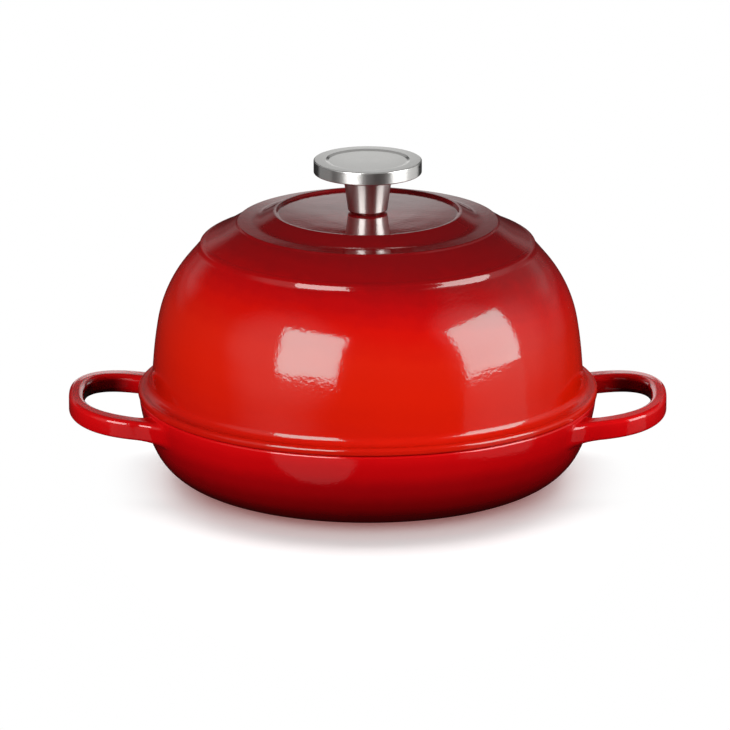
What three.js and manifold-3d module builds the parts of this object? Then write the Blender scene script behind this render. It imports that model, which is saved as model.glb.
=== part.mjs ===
// Enamelled cast-iron bread oven: a shallow pan with two loop handles cast on, and a tall
// domed lid with a turned steel knob held by a screw from inside.
// Millimetres, +Z up. The pan stands on z = 0 on its axis, and the handles lie along X.

import * as THREE from 'three';
import { mergeVertices } from 'three/addons/utils/BufferGeometryUtils.js';
import Module from 'manifold-3d';

const wasm = await Module();
wasm.setup();

// Pan
const RIM_R = 127.8; // outer radius of the rim
const RIM_H = 47.8; // height of the rim above the table
const RIM_LAND = 7; // width of the flat that carries the lid
const RIM_EDGE = 1.3; // rounding of the rim's outer edge
const RIM_INNER_EDGE = 0.8;
const PAN_WALL = 5;
const PAN_FLOOR = 5;
const BELLY_IN = 1.7; // the upper wall leans in by this much, down to the belly
const BELLY_Z = 32.8; // height where the upper wall's lean turns into the lower one
const BELLY_ROUND = 85;
const TURN_IN = 17.6; // the lower wall, carried on straight, meets the table this far in
const TURN_ROUND = 34; // corner from the wall to the flat bottom
const FOOT_R = 76; // inside radius of the flat ring that the pan stands on
const FOOT_RECESS = 0.8; // the middle of the bottom is raised by this much
const FOOT_SLOPE = 2; // radial run of the recess's edge

// Low rings on the pan's floor, which let air under the loaf
const RIB_COUNT = 3;
const RIB_FIRST_R = 28;
const RIB_PITCH = 22;
const RIB_H = 1.2;
const RIB_FOOT_W = 6;
const RIB_TOP_W = 2.4;

// Loop handles, cast in one with the pan
const LOOP_REACH = 35; // from the rim to the middle of the bar
const LOOP_SHOULDER = 1.3; // the loop's straight arms start this far inside the rim
const LOOP_HALF_Y = 45.9; // from the middle plane to the middle of an arm
const LOOP_SQUARENESS = 2.5; // 2 would be an ellipse, more is squarer
const LOOP_H = 10.8;
const ARM_W = 12.9;
const BAR_W = 8.6;
const LOOP_SOFT_EDGE = 3.4; // top edge outside and bottom edge inside
const LOOP_CRISP_EDGE = 1.8; // the other two edges
const LOOP_DROP = 7.8; // from the rim down to the middle of an arm at its root
const LOOP_RISE = THREE.MathUtils.degToRad(6.5); // the loop tilts up towards its bar
const ROOT_FILLET = 14; // flare along the wall where an arm meets it
const ROOT_LIFT = 4; // the same, up and down
const ROOT_BITE = 1; // the flare runs on into the wall, so that the two cross at a clear angle
const ROOT_SINK = 12; // the arms run on this far inside the rim before the wall is hollowed

// Lid, heights above its seat on the rim
const SEAT_GAP = 0.3;
const LIP_CLEAR = 1; // radial play of the locating lip inside the rim
const LIP_H = 3;
const LIP_EDGE = 1;
const LID_WALL = 4.8;
const FLANGE_OVERHANG = 0.6; // the flange stands out past the rim
const FLANGE_T = 4.3;
const FLANGE_EDGE = 2;
const FLANGE_UNDER_EDGE = 0.7;
const DOME_FOOT_OUT = 1.2; // the dome's foot stands outside the lip
const DOME_FOOT_ROUND = 6.8;
const WAIST_IN = 2; // the dome's wall leans in by this much, up to the waist
const WAIST_Z = 30;
const WAIST_ROUND = 220;
const SHOULDER_IN = 6.8; // where wall and shoulder, carried on straight, would meet
const SHOULDER_Z = 60.4;
const SHOULDER_ROUND = 70;
const STEP_R = 93.4; // edge of the raised crown
const STEP_Z = 87.2;
const STEP_RISE = 5.2;
const STEP_LEAN = 1.6;
const STEP_FOOT_ROUND = 7;
const STEP_EDGE = 2;
const RING_R = 72.6; // small step in the crown's slope
const RING_Z = 99.2;
const RING_RISE = 1.1;
const RING_LEAN = 0.8;
const RING_EDGE = 0.8;
const CREST_R = 52.6; // lip around the dish in the crown
const CREST_Z = 104.8;
const CREST_ROUND = 2;
const DISH_DEPTH = 1.6;
const DISH_LEAN = 2.2; // the lip's inner face runs in by this much
const DISH_ROUND = 1.2;
const CEILING_ROUND = 18; // roundings inside, from the dome to its ceiling
const HOLE_PLAY = 0.5; // radial play of the screw in the lid

// Knob: a thick disc on a stem that narrows towards the lid
const DISC_R = 30.1;
const DISC_T = 7.4;
const DISC_EDGE = 0.7;
const DISC_DISH_R = 23; // shallow turned hollow in the top
const DISC_DISH_DEPTH = 0.8;
const DISC_DISH_SLOPE = 1.2;
const STEM_H = 23.4;
const STEM_TOP_R = 13.9;
const STEM_FOOT_R = 10.9;
const STEM_TOP_ROUND = 1.5;
const STEM_FOOT_EDGE = 0.6;
const KNOB_GAP = 0.3; // to the dish that the stem stands on
const BORE_DEPTH = 17;
const BORE_PLAY = 0.3;

// Screw and washer inside the lid
const SCREW_R = 3;
const SCREW_GRIP = 14; // length of thread inside the knob
const SCREW_TIP = 0.8;
const HEAD_R = 6;
const HEAD_T = 3.6;
const HEAD_ROUND = 2.2;
const SLOT_W = 1.6;
const SLOT_DEPTH = 1.8;
const WASHER_R = 9;
const WASHER_T = 1.6;
const WASHER_EDGE = 0.3;
const WASHER_PLAY = 0.4;
const STACK_GAP = 0.3; // between ceiling, washer and head

// Facets
const CASTING_SIDES = 56;
const TURNED_SIDES = 40;
const SMALL_SIDES = 24;
const CHORD_ERROR = 0.25; // the most that a facet may cut across an arc
const ARC_SHARE = 0.98; // the most of an edge that the arcs at its two ends may take
const LOOP_STEPS = 16;
const ROOT_STEPS = 5;
const WELD = 1e-4; // corners nearer to each other than this are one

// Levels that several pieces share
const SEAT_Z = RIM_H + SEAT_GAP;
const LIP_R = RIM_R - RIM_LAND - LIP_CLEAR;
const DISH_Z = SEAT_Z + CREST_Z - DISH_DEPTH;
const CEILING_Z = DISH_Z - LID_WALL;
const WASHER_TOP_Z = CEILING_Z - STACK_GAP;
const HEAD_TOP_Z = WASHER_TOP_Z - WASHER_T - STACK_GAP;
const STEM_FOOT_Z = DISH_Z + KNOB_GAP;

// Outlines: corners in radius and height, each with its own rounding

const corner = (r, z, round = 0) => ({ at: new THREE.Vector2(r, z), round });

function turnAt(corners, i) {
  const arriving = corners[i].at.clone().sub(corners[i - 1].at);
  const leaving = corners[i + 1].at.clone().sub(corners[i].at);
  return Math.abs(Math.atan2(arriving.cross(leaving), arriving.dot(leaving)));
}

// The arc that rounds one corner, tangent to both its edges at a given distance from it
function cornerArc(corners, i, cut) {
  const { at } = corners[i];
  if (cut < WELD) return [at];
  const toPrevious = corners[i - 1].at.clone().sub(at).normalize();
  const toNext = corners[i + 1].at.clone().sub(at).normalize();
  const half = turnAt(corners, i) / 2;
  const radius = cut / Math.tan(half);
  const middle = toPrevious.clone().add(toNext).normalize().multiplyScalar(radius / Math.cos(half)).add(at);
  const from = toPrevious.clone().multiplyScalar(cut).add(at).sub(middle).angle();
  const to = toNext.clone().multiplyScalar(cut).add(at).sub(middle).angle();
  const clockwise = toPrevious.cross(toNext) > 0;
  const arc = new THREE.EllipseCurve(middle.x, middle.y, radius, radius, from, to, clockwise);
  const step = 2 * Math.acos(Math.max(1 - CHORD_ERROR / radius, 0));
  return arc.getPoints(Math.ceil((2 * half) / step));
}

// An outline with every corner rounded. Arcs that would overlap share the edge between them.
function roundedOutline(corners) {
  const last = corners.length - 1;
  const cuts = corners.map((c, i) => {
    const ends = i === 0 || i === last;
    return ends ? 0 : c.round * Math.tan(turnAt(corners, i) / 2);
  });
  for (let i = 0; i < last; i++) {
    const room = ARC_SHARE * corners[i].at.distanceTo(corners[i + 1].at);
    const wanted = cuts[i] + cuts[i + 1];
    if (wanted <= room) continue;
    cuts[i] *= room / wanted;
    cuts[i + 1] *= room / wanted;
  }
  return corners.flatMap((c, i) => cornerArc(corners, i, cuts[i]));
}

// Corners of a wall's other face: each edge of the outline moved to its left by its own thickness
function insetCorners(points, walls) {
  const edges = walls.map((wall, i) => {
    const along = points[i + 1].clone().sub(points[i]).normalize();
    const left = new THREE.Vector2(-along.y, along.x);
    return { from: points[i].clone().addScaledVector(left, wall), along };
  });
  return edges.slice(1).map((edge, i) => {
    const before = edges[i];
    const gap = edge.from.clone().sub(before.from);
    const run = gap.cross(edge.along) / before.along.cross(edge.along);
    return before.from.clone().addScaledVector(before.along, run);
  });
}

// Solids

function toSolid(geometry) {
  geometry.deleteAttribute('normal');
  geometry.deleteAttribute('uv');
  const welded = mergeVertices(geometry, WELD);
  const index = welded.index.array;
  const kept = [];
  for (let i = 0; i < index.length; i += 3) {
    const [a, b, c] = [index[i], index[i + 1], index[i + 2]];
    if (a !== b && b !== c && c !== a) kept.push(a, b, c);
  }
  return new wasm.Manifold(new wasm.Mesh({
    numProp: 3,
    vertProperties: new Float32Array(welded.attributes.position.array),
    triVerts: new Uint32Array(kept),
  }));
}

// Turns an outline about the Z axis. It runs up the outside, so that the faces point out.
function revolve(corners, sides) {
  const lathe = new THREE.LatheGeometry(roundedOutline(corners), sides);
  return toSolid(lathe.rotateX(Math.PI / 2));
}

function pieceMesh(name, solid, material) {
  const { vertProperties, triVerts } = solid.getMesh();
  const geometry = new THREE.BufferGeometry();
  geometry.setAttribute('position', new THREE.BufferAttribute(new Float32Array(vertProperties), 3));
  geometry.setIndex(new THREE.BufferAttribute(new Uint32Array(triVerts), 1));
  geometry.computeVertexNormals();
  const mesh = new THREE.Mesh(geometry, material);
  mesh.name = name;
  return mesh;
}

const redEnamel = () => new THREE.MeshStandardMaterial({ color: 0xc4120f, roughness: 0.12, metalness: 0 });
const satinSteel = () => new THREE.MeshStandardMaterial({ color: 0xb9babc, roughness: 0.3, metalness: 1 });
const zincSteel = () => new THREE.MeshStandardMaterial({ color: 0x9d9fa2, roughness: 0.4, metalness: 1 });

// Pan

// Straight edges that the pan's outer wall is rounded from: bottom, lower wall, upper wall
const panEdges = [
  new THREE.Vector2(0, 0),
  new THREE.Vector2(RIM_R - TURN_IN, 0),
  new THREE.Vector2(RIM_R - BELLY_IN, BELLY_Z),
  new THREE.Vector2(RIM_R, RIM_H),
];

const panWallOutline = roundedOutline([
  corner(panEdges[0].x, panEdges[0].y),
  corner(panEdges[1].x, panEdges[1].y, TURN_ROUND),
  corner(panEdges[2].x, panEdges[2].y, BELLY_ROUND),
  corner(panEdges[3].x, panEdges[3].y),
]);

function panWallRadius(z) {
  const above = panWallOutline.findIndex((p) => p.y >= z && p.x > RIM_R - TURN_IN);
  if (above < 1) return RIM_R;
  const [low, high] = [panWallOutline[above - 1], panWallOutline[above]];
  return THREE.MathUtils.mapLinear(z, low.y, high.y, low.x, high.x);
}

function panBlank() {
  return revolve([
    corner(0, FOOT_RECESS),
    corner(FOOT_R - FOOT_SLOPE, FOOT_RECESS),
    corner(FOOT_R, 0),
    corner(panEdges[1].x, 0, TURN_ROUND),
    corner(panEdges[2].x, panEdges[2].y, BELLY_ROUND),
    corner(RIM_R, RIM_H, RIM_EDGE),
    corner(0, RIM_H),
  ], CASTING_SIDES);
}

// The pan's hollow, with a groove for each ring on its floor. It runs out above the rim.
function panHollow() {
  const [floorTurn, belly] = insetCorners(panEdges, [PAN_FLOOR, PAN_WALL, RIM_LAND]);
  const mouthR = RIM_R - RIM_LAND;
  const grooves = Array.from({ length: RIB_COUNT }, (_, i) => {
    const middle = RIB_FIRST_R + i * RIB_PITCH;
    return [
      corner(middle - RIB_FOOT_W / 2, PAN_FLOOR),
      corner(middle - RIB_TOP_W / 2, PAN_FLOOR + RIB_H),
      corner(middle + RIB_TOP_W / 2, PAN_FLOOR + RIB_H),
      corner(middle + RIB_FOOT_W / 2, PAN_FLOOR),
    ];
  }).flat();
  return revolve([
    corner(0, PAN_FLOOR),
    ...grooves,
    corner(floorTurn.x, PAN_FLOOR, TURN_ROUND - PAN_WALL),
    corner(belly.x, belly.y, BELLY_ROUND - PAN_WALL),
    corner(mouthR, RIM_H - RIM_INNER_EDGE),
    corner(mouthR + 2 * RIM_INNER_EDGE, RIM_H + RIM_INNER_EDGE),
    corner(0, RIM_H + RIM_INNER_EDGE),
  ], CASTING_SIDES);
}

// Middle line of the loop in plan, as points with their directions: in along one arm, round
// the bar on a rounded rectangle's formula, and back along the other arm
function loopStations() {
  const armX = RIM_R - LOOP_SHOULDER;
  const length = LOOP_REACH + LOOP_SHOULDER;
  const power = 2 / LOOP_SQUARENESS;
  const bend = Array.from({ length: LOOP_STEPS + 1 }, (_, i) => {
    const angle = Math.PI * (i / LOOP_STEPS - 0.5);
    // Tangent spacing evens out the steps that the formula crowds at the corners
    const t = Math.atan(Math.sign(angle) * Math.abs(Math.tan(angle)) ** Math.sqrt(LOOP_SQUARENESS));
    const x = armX + length * Math.abs(Math.cos(t)) ** power;
    return new THREE.Vector2(x, LOOP_HALF_Y * Math.sign(t) * Math.abs(Math.sin(t)) ** power);
  });
  const root = (side) => Array.from({ length: ROOT_STEPS }, (_, i) => {
    return new THREE.Vector2(armX - ROOT_SINK * (1 - i / ROOT_STEPS), side * LOOP_HALF_Y);
  });
  const line = [...root(-1), ...bend, ...root(1).reverse()];
  return line.map((at, i) => {
    const before = line[Math.max(i - 1, 0)];
    const after = line[Math.min(i + 1, line.length - 1)];
    return { at, along: after.clone().sub(before).normalize() };
  });
}

// Section of the loop: across, away from the loop's middle, and up
function loopSection(width) {
  const out = width / 2;
  const up = LOOP_H / 2;
  const ring = [
    corner(0, -up),
    corner(out, -up, LOOP_CRISP_EDGE),
    corner(out, up, LOOP_SOFT_EDGE),
    corner(-out, up, LOOP_CRISP_EDGE),
    corner(-out, -up, LOOP_SOFT_EDGE),
    corner(0, -up),
  ];
  return roundedOutline(ring).slice(0, -1);
}

// How far a fillet at the root moves a point on the arm's skin, by its distance from the wall
function rootFlare(fillet, distance) {
  const short = fillet - THREE.MathUtils.clamp(distance + ROOT_BITE, 0, fillet);
  return fillet - Math.sqrt(fillet ** 2 - short ** 2);
}

// One loop on the +X side. At its roots the skin slides along the pan's wall into a fillet.
function loopHandle() {
  const rootX = RIM_R - LOOP_SHOULDER;
  const axis = new THREE.Vector3(0, 0, 1);
  const rings = loopStations().map(({ at, along }) => {
    const width = THREE.MathUtils.lerp(ARM_W, BAR_W, along.y ** 2);
    const z = RIM_H - LOOP_DROP + (at.x - rootX) * Math.tan(LOOP_RISE);
    return loopSection(width).map((p) => {
      const point = new THREE.Vector3(at.x + p.x * along.y, at.y - p.x * along.x, z + p.y);
      const radius = Math.hypot(point.x, point.y);
      const distance = radius - panWallRadius(point.z);
      const outward = p.clone().normalize();
      const slide = outward.x * rootFlare(ROOT_FILLET, distance);
      const lift = outward.y * rootFlare(ROOT_LIFT, distance);
      point.applyAxisAngle(axis, (Math.sign(at.y) * slide) / radius);
      point.z = Math.min(point.z + lift, RIM_H - RIM_EDGE);
      return point;
    });
  });
  return loftGeometry(rings);
}

// A closed skin over a row of rings with equally many points, flat at both ends
function loftGeometry(rings) {
  const count = rings[0].length;
  const faces = [];
  for (let i = 0; i < rings.length - 1; i++) {
    for (let j = 0; j < count; j++) {
      const k = (j + 1) % count;
      const [a, b] = [i * count + j, i * count + k];
      faces.push(a, b + count, b, a, a + count, b + count);
    }
  }
  const lastRing = (rings.length - 1) * count;
  for (let j = 1; j < count - 1; j++) {
    faces.push(0, j, j + 1);
    faces.push(lastRing, lastRing + j + 1, lastRing + j);
  }
  const geometry = new THREE.BufferGeometry().setFromPoints(rings.flat());
  geometry.setIndex(faces);
  return geometry;
}

function basePan() {
  const right = toSolid(loopHandle());
  const left = toSolid(loopHandle().rotateZ(Math.PI));
  return panBlank().add(right).add(left).subtract(panHollow());
}

// Lid

function lidDome() {
  const z = (height) => SEAT_Z + height;
  const footR = LIP_R + DOME_FOOT_OUT;
  const foot = new THREE.Vector2(footR, z(0));
  const waist = new THREE.Vector2(footR - WAIST_IN, z(WAIST_Z));
  const shoulder = new THREE.Vector2(footR - SHOULDER_IN, z(SHOULDER_Z));
  const step = new THREE.Vector2(STEP_R, z(STEP_Z));
  const ring = new THREE.Vector2(RING_R, z(RING_Z));
  const inside = insetCorners([foot, waist, shoulder, step, ring], Array(4).fill(LID_WALL));
  const [insideWaist, insideShoulder, insideStep] = inside;
  const slope = (ring.x - step.x) / (ring.y - step.y);
  const ceilingR = insideStep.x + slope * (CEILING_Z - insideStep.y);
  const holeR = SCREW_R + HOLE_PLAY;
  const lipInsideR = LIP_R - LID_WALL;
  return revolve([
    corner(holeR, CEILING_Z),
    corner(ceilingR, CEILING_Z, CEILING_ROUND),
    corner(insideStep.x, insideStep.y, CEILING_ROUND),
    corner(insideShoulder.x, insideShoulder.y, SHOULDER_ROUND - LID_WALL),
    corner(insideWaist.x, insideWaist.y, WAIST_ROUND - LID_WALL),
    corner(lipInsideR, z(0)),
    corner(lipInsideR, z(-LIP_H), LIP_EDGE),
    corner(LIP_R, z(-LIP_H), LIP_EDGE),
    corner(LIP_R, z(0)),
    corner(RIM_R + FLANGE_OVERHANG, z(0), FLANGE_UNDER_EDGE),
    corner(RIM_R + FLANGE_OVERHANG, z(FLANGE_T), FLANGE_EDGE),
    corner(footR, z(FLANGE_T), DOME_FOOT_ROUND),
    corner(waist.x, waist.y, WAIST_ROUND),
    corner(shoulder.x, shoulder.y, SHOULDER_ROUND),
    corner(STEP_R + STEP_LEAN, z(STEP_Z - STEP_RISE), STEP_FOOT_ROUND),
    corner(step.x, step.y, STEP_EDGE),
    corner(RING_R + RING_LEAN, z(RING_Z - RING_RISE)),
    corner(ring.x, ring.y, RING_EDGE),
    corner(CREST_R, z(CREST_Z), CREST_ROUND),
    corner(CREST_R - DISH_LEAN, DISH_Z, DISH_ROUND),
    corner(holeR, DISH_Z),
    corner(holeR, CEILING_Z),
  ], CASTING_SIDES);
}

// Knob, screw and washer

function lidKnob() {
  const boreR = SCREW_R + BORE_PLAY;
  const discZ = STEM_FOOT_Z + STEM_H;
  const topZ = discZ + DISC_T;
  return revolve([
    corner(0, STEM_FOOT_Z + BORE_DEPTH),
    corner(boreR, STEM_FOOT_Z + BORE_DEPTH),
    corner(boreR, STEM_FOOT_Z),
    corner(STEM_FOOT_R, STEM_FOOT_Z, STEM_FOOT_EDGE),
    corner(STEM_TOP_R, discZ, STEM_TOP_ROUND),
    corner(DISC_R, discZ, DISC_EDGE),
    corner(DISC_R, topZ, DISC_EDGE),
    corner(DISC_DISH_R, topZ),
    corner(DISC_DISH_R - DISC_DISH_SLOPE, topZ - DISC_DISH_DEPTH),
    corner(0, topZ - DISC_DISH_DEPTH),
  ], TURNED_SIDES);
}

function knobScrew() {
  const tipZ = STEM_FOOT_Z + SCREW_GRIP;
  const headZ = HEAD_TOP_Z - HEAD_T;
  const turned = revolve([
    corner(0, headZ),
    corner(HEAD_R, headZ, HEAD_ROUND),
    corner(HEAD_R, HEAD_TOP_Z),
    corner(SCREW_R, HEAD_TOP_Z),
    corner(SCREW_R, tipZ - SCREW_TIP),
    corner(SCREW_R - SCREW_TIP, tipZ),
    corner(0, tipZ),
  ], SMALL_SIDES);
  const slotRun = 2 * (HEAD_R + SLOT_W);
  const slot = new THREE.BoxGeometry(slotRun, SLOT_W, 2 * SLOT_DEPTH).translate(0, 0, headZ);
  return turned.subtract(toSolid(slot));
}

function knobWasher() {
  const holeR = SCREW_R + WASHER_PLAY;
  const bottomZ = WASHER_TOP_Z - WASHER_T;
  return revolve([
    corner(holeR, bottomZ),
    corner(WASHER_R, bottomZ, WASHER_EDGE),
    corner(WASHER_R, WASHER_TOP_Z, WASHER_EDGE),
    corner(holeR, WASHER_TOP_Z),
    corner(holeR, bottomZ),
  ], SMALL_SIDES);
}

// The oven: the pan, and the lid with all that is fastened to it

const lid = new THREE.Group();
lid.add(
  pieceMesh('lid_dome', lidDome(), redEnamel()),
  pieceMesh('lid_knob', lidKnob(), satinSteel()),
  pieceMesh('knob_screw', knobScrew(), zincSteel()),
  pieceMesh('knob_washer', knobWasher(), zincSteel()),
);

const breadOven = new THREE.Group();
breadOven.add(pieceMesh('base_pan', basePan(), redEnamel()), lid);

export default breadOven;
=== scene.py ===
# %% [markdown]
# # A bread oven in enamelled cast iron
# The oven is a shallow pan with two loop handles and a tall domed lid with a steel knob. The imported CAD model
# gives every size and says which pieces move together. This lesson dresses it: each CAD solid is replaced by a
# finer mesh in the same place, with the finish of the real thing. Lengths on the oven are in millimetres and are
# turned to metres only where a mesh is made. Lengths in the studio around it are in metres.

# %% Load the frame
import math

import bmesh
import bpy
import numpy as np
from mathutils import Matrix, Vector


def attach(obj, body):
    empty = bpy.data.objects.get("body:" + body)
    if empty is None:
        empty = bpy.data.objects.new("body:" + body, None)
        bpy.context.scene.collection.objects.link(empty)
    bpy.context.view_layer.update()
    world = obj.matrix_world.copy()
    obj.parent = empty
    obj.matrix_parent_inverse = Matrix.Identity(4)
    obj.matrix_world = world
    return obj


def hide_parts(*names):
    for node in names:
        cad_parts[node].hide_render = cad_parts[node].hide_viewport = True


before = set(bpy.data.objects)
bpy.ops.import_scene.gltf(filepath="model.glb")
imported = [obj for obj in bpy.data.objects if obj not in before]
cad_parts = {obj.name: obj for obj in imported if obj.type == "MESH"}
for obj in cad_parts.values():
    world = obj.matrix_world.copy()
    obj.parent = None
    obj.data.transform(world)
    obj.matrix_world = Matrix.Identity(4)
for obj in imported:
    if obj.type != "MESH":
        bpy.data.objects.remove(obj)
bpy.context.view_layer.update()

MM = 0.001
scene = bpy.context.scene
scene.view_settings.view_transform = "Standard"

# %% [markdown]
# ## Camera
# The photograph was taken with a long lens, from the front and a little above: the rim is an ellipse 0.27 times as
# high as it is wide, which is the sine of the viewing angle. A camera five metres away gives the same flat look.
# Its lens follows from the width of the picture at the oven.

# %% Camera
VIEW_RISE = 15.9
VIEW_DISTANCE = 5.0
VIEW_WIDTH = 408
AIM = Vector((-1.5, 0, 63.7)) * MM

rise = math.radians(VIEW_RISE)
to_camera = Vector((0, -math.cos(rise), math.sin(rise)))
camera = bpy.data.objects.new("camera", bpy.data.cameras.new("camera"))
scene.collection.objects.link(camera)
camera.location = AIM + to_camera * VIEW_DISTANCE
camera.rotation_euler = to_camera.to_track_quat("Z", "Y").to_euler()
camera.data.lens = camera.data.sensor_width * VIEW_DISTANCE / (VIEW_WIDTH * MM)
scene.camera = camera
print("lens in mm:", round(camera.data.lens))

# %% [markdown]
# ## Nodes and colours
# Everything below is built from nodes: the finishes, the sky, and the tree that turns an outline into a solid.
# One helper adds a node of any kind, sets its options and fills its sockets, with a value or with a link.
# Colours are written as sRGB hex, as a colour picker shows them, and the shaders want linear light.

# %% Node and colour helpers
def add(tree, kind, options=None, sockets=None):
    node = tree.nodes.new(kind)
    for option, value in (options or {}).items():
        setattr(node, option, value)
    for socket, value in (sockets or {}).items():
        if isinstance(value, bpy.types.NodeSocket):
            tree.links.new(value, node.inputs[socket])
        else:
            node.inputs[socket].default_value = value
    return node


def linear(hex_colour):
    parts = [int(hex_colour[i : i + 2], 16) / 255 for i in (1, 3, 5)]
    return [p / 12.92 if p < 0.04045 else ((p + 0.055) / 1.055) ** 2.4 for p in parts] + [1]


def bare_material(name):
    material = bpy.data.materials.new(name)
    material.use_nodes = True
    material.node_tree.nodes.clear()
    return material, material.node_tree


WHITE = linear("#ffffff")
SOFT = {"interpolation_type": "SMOOTHSTEP"}
print("mid grey in linear light:", round(linear("#808080")[0], 3))

# %% [markdown]
# ## Paper
# The oven stands on white paper. Near it the paper is matt and takes the shadow. Beyond an oval around the oven it
# glows plain white to every ray that is seen, so that it has no horizon. Red enamel throws some of its colour on the
# paper at its foot, and a ring of weak pink glow stands for that, because too few stray rays find their way there.
# The paper lies a fifth of a millimetre below the oven, or the two would flicker through each other. From below it is
# clear, so that the underside can be looked at.

# %% Paper
PAPER_HALF = 12.0
PAPER_Z = -0.0002
SHADOW_SHAPE = (2.3, 1, 1)
SHADOW_REACH = (0.2, 0.36)
THROWN_REACH = (0.136, 0.1)
THROWN_STRENGTH = 0.26


def seen_ray(tree):
    """1 for a ray from the camera, or one that a mirror or glass passes on, and 0 for a scattered one."""
    ray = add(tree, "ShaderNodeLightPath")
    mirrored = add(tree, "ShaderNodeMath", {"operation": "MAXIMUM"}, {
        0: ray.outputs["Is Glossy Ray"], 1: ray.outputs["Is Transmission Ray"]})
    return add(tree, "ShaderNodeMath", {"operation": "MAXIMUM"}, {
        0: ray.outputs["Is Camera Ray"], 1: mirrored.outputs[0]}).outputs[0]


paper_mesh = bpy.data.meshes.new("paper")
corners = [(-1, -1), (1, -1), (1, 1), (-1, 1)]
paper_mesh.from_pydata([(x * PAPER_HALF, y * PAPER_HALF, PAPER_Z) for x, y in corners], [], [(0, 1, 2, 3)])
paper = bpy.data.objects.new("paper", paper_mesh)
scene.collection.objects.link(paper)
paper.visible_glossy = paper.visible_diffuse = False

# Matt and even: it takes the shadow and mirrors nothing.
white_paper, nodes = bare_material("white paper")
place = add(nodes, "ShaderNodeTexCoord")
distance = add(nodes, "ShaderNodeVectorMath", {"operation": "LENGTH"}, {0: place.outputs["Object"]})
oval = add(nodes, "ShaderNodeVectorMath", {"operation": "MULTIPLY"}, {0: place.outputs["Object"], 1: SHADOW_SHAPE})
outward = add(nodes, "ShaderNodeVectorMath", {"operation": "LENGTH"}, {0: oval.outputs[0]})
far = add(nodes, "ShaderNodeMapRange", SOFT, {
    "Value": outward.outputs["Value"], "From Min": SHADOW_REACH[0], "From Max": SHADOW_REACH[1]})
white_far = add(nodes, "ShaderNodeMath", {"operation": "MULTIPLY"}, {0: far.outputs["Result"], 1: seen_ray(nodes)})
matt = add(nodes, "ShaderNodeBsdfDiffuse", None, {"Color": linear("#f6f6f6")})
near = add(nodes, "ShaderNodeMapRange", SOFT, {
    "Value": distance.outputs["Value"], "From Min": THROWN_REACH[0], "From Max": THROWN_REACH[1],
    "To Max": THROWN_STRENGTH})
thrown = add(nodes, "ShaderNodeEmission", None, {"Color": linear("#ffb3af"), "Strength": near.outputs["Result"]})
sheet = add(nodes, "ShaderNodeAddShader", None, {0: matt.outputs[0], 1: thrown.outputs[0]})
glow = add(nodes, "ShaderNodeEmission", None, {"Color": WHITE, "Strength": 1.0})
front = add(nodes, "ShaderNodeMixShader", None, {0: white_far.outputs[0], 1: sheet.outputs[0], 2: glow.outputs[0]})
side = add(nodes, "ShaderNodeNewGeometry")
clear = add(nodes, "ShaderNodeBsdfTransparent")
both = add(nodes, "ShaderNodeMixShader", None, {
    0: side.outputs["Backfacing"], 1: front.outputs[0], 2: clear.outputs[0]})
add(nodes, "ShaderNodeOutputMaterial", None, {"Surface": both.outputs[0]})
paper_mesh.materials.append(white_paper)
print("paper width in m:", 2 * PAPER_HALF)

# %% [markdown]
# ## Lamps
# A softbox is a lamp behind white cloth, and an area light does the same. For glossy enamel it counts where a box is
# seen from the oven and how large it looks there. So a box is given in degrees: to the right of the camera, up, and
# how wide and high it looks. Its power follows from its brightness and its area. No lamp is visible to the camera,
# because some would stand in the picture when the oven is looked at from another side.

# %% Lamp helpers
BOX_DISTANCE = 1.6


def aimed_lamp(name, at, size, radiance):
    lamp = bpy.data.lights.new(name, "AREA")
    lamp.shape = "RECTANGLE"
    lamp.size, lamp.size_y = size
    lamp.energy = radiance * math.pi * size[0] * size[1]
    holder = bpy.data.objects.new(name, lamp)
    scene.collection.objects.link(holder)
    holder.location = at
    holder.rotation_euler = (Vector(at) - AIM).to_track_quat("Z", "Y").to_euler()
    holder.visible_camera = False
    return holder


def direction(turn, lift):
    """A way from the oven: degrees to the right of the camera, and degrees up."""
    turn, lift = math.radians(turn), math.radians(lift)
    return Vector((math.sin(turn) * math.cos(lift), -math.cos(turn) * math.cos(lift), math.sin(lift)))


def softbox(name, turn, lift, spread, height, radiance, distance=BOX_DISTANCE):
    size = [2 * distance * math.tan(math.radians(a) / 2) for a in (spread, height)]
    return aimed_lamp(name, AIM + direction(turn, lift) * distance, size, radiance)


print("the way to the right, as x, y, z:", [round(v, 3) for v in direction(90, 0)])

# %% [markdown]
# ## Softboxes
# Two softboxes stand at the front, one to the left of the camera and one far to the right, and the space between them
# is dark. That dark gap keeps the red deep: polished enamel mirrors a twentieth of whatever is in front of it, and a
# white room would lay a grey veil over the colour. The pan's belly looks down, and there it shows both boxes once
# more, dimly, as a table top mirrors them. The paper mirrors nothing, so two weak lamps from below do that.

# %% Softboxes
left_box = softbox("left softbox", -32, 20.5, 33, 37, 7.2)
right_box = softbox("right softbox", 70, 18.9, 36, 37.5, 6.4)
left_glint = softbox("left softbox in the table", -28, -27, 38, 44, 0.22)
left_glint.data.shape = "ELLIPSE"
right_glint = softbox("right softbox in the table", 70, -16, 40, 30, 0.22)
print("left softbox in m:", [round(s, 2) for s in (left_box.data.size, left_box.data.size_y)])

# %% [markdown]
# ## Fills, sheens and cards
# Light also comes back from the walls and the table. Three fills stand for that: they bring out the colour of the
# enamel and show in no mirror. A strip light close behind each handle draws the fine sheen along its bar. The knob is
# steel and mirrors all that is around it, so it gets weak cards of its own on all sides, and the screw inside the lid
# gets one from below. Without them the metal would be as dark as the cloth. The paper has lamps of its own too, above
# and behind, so that it is white without more light on the oven.

# %% Fills, sheens and cards
SHEEN_PLACE, SHEEN_SIZE = (0.12, 0.3, 0.06), (0.18, 0.1)

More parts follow.
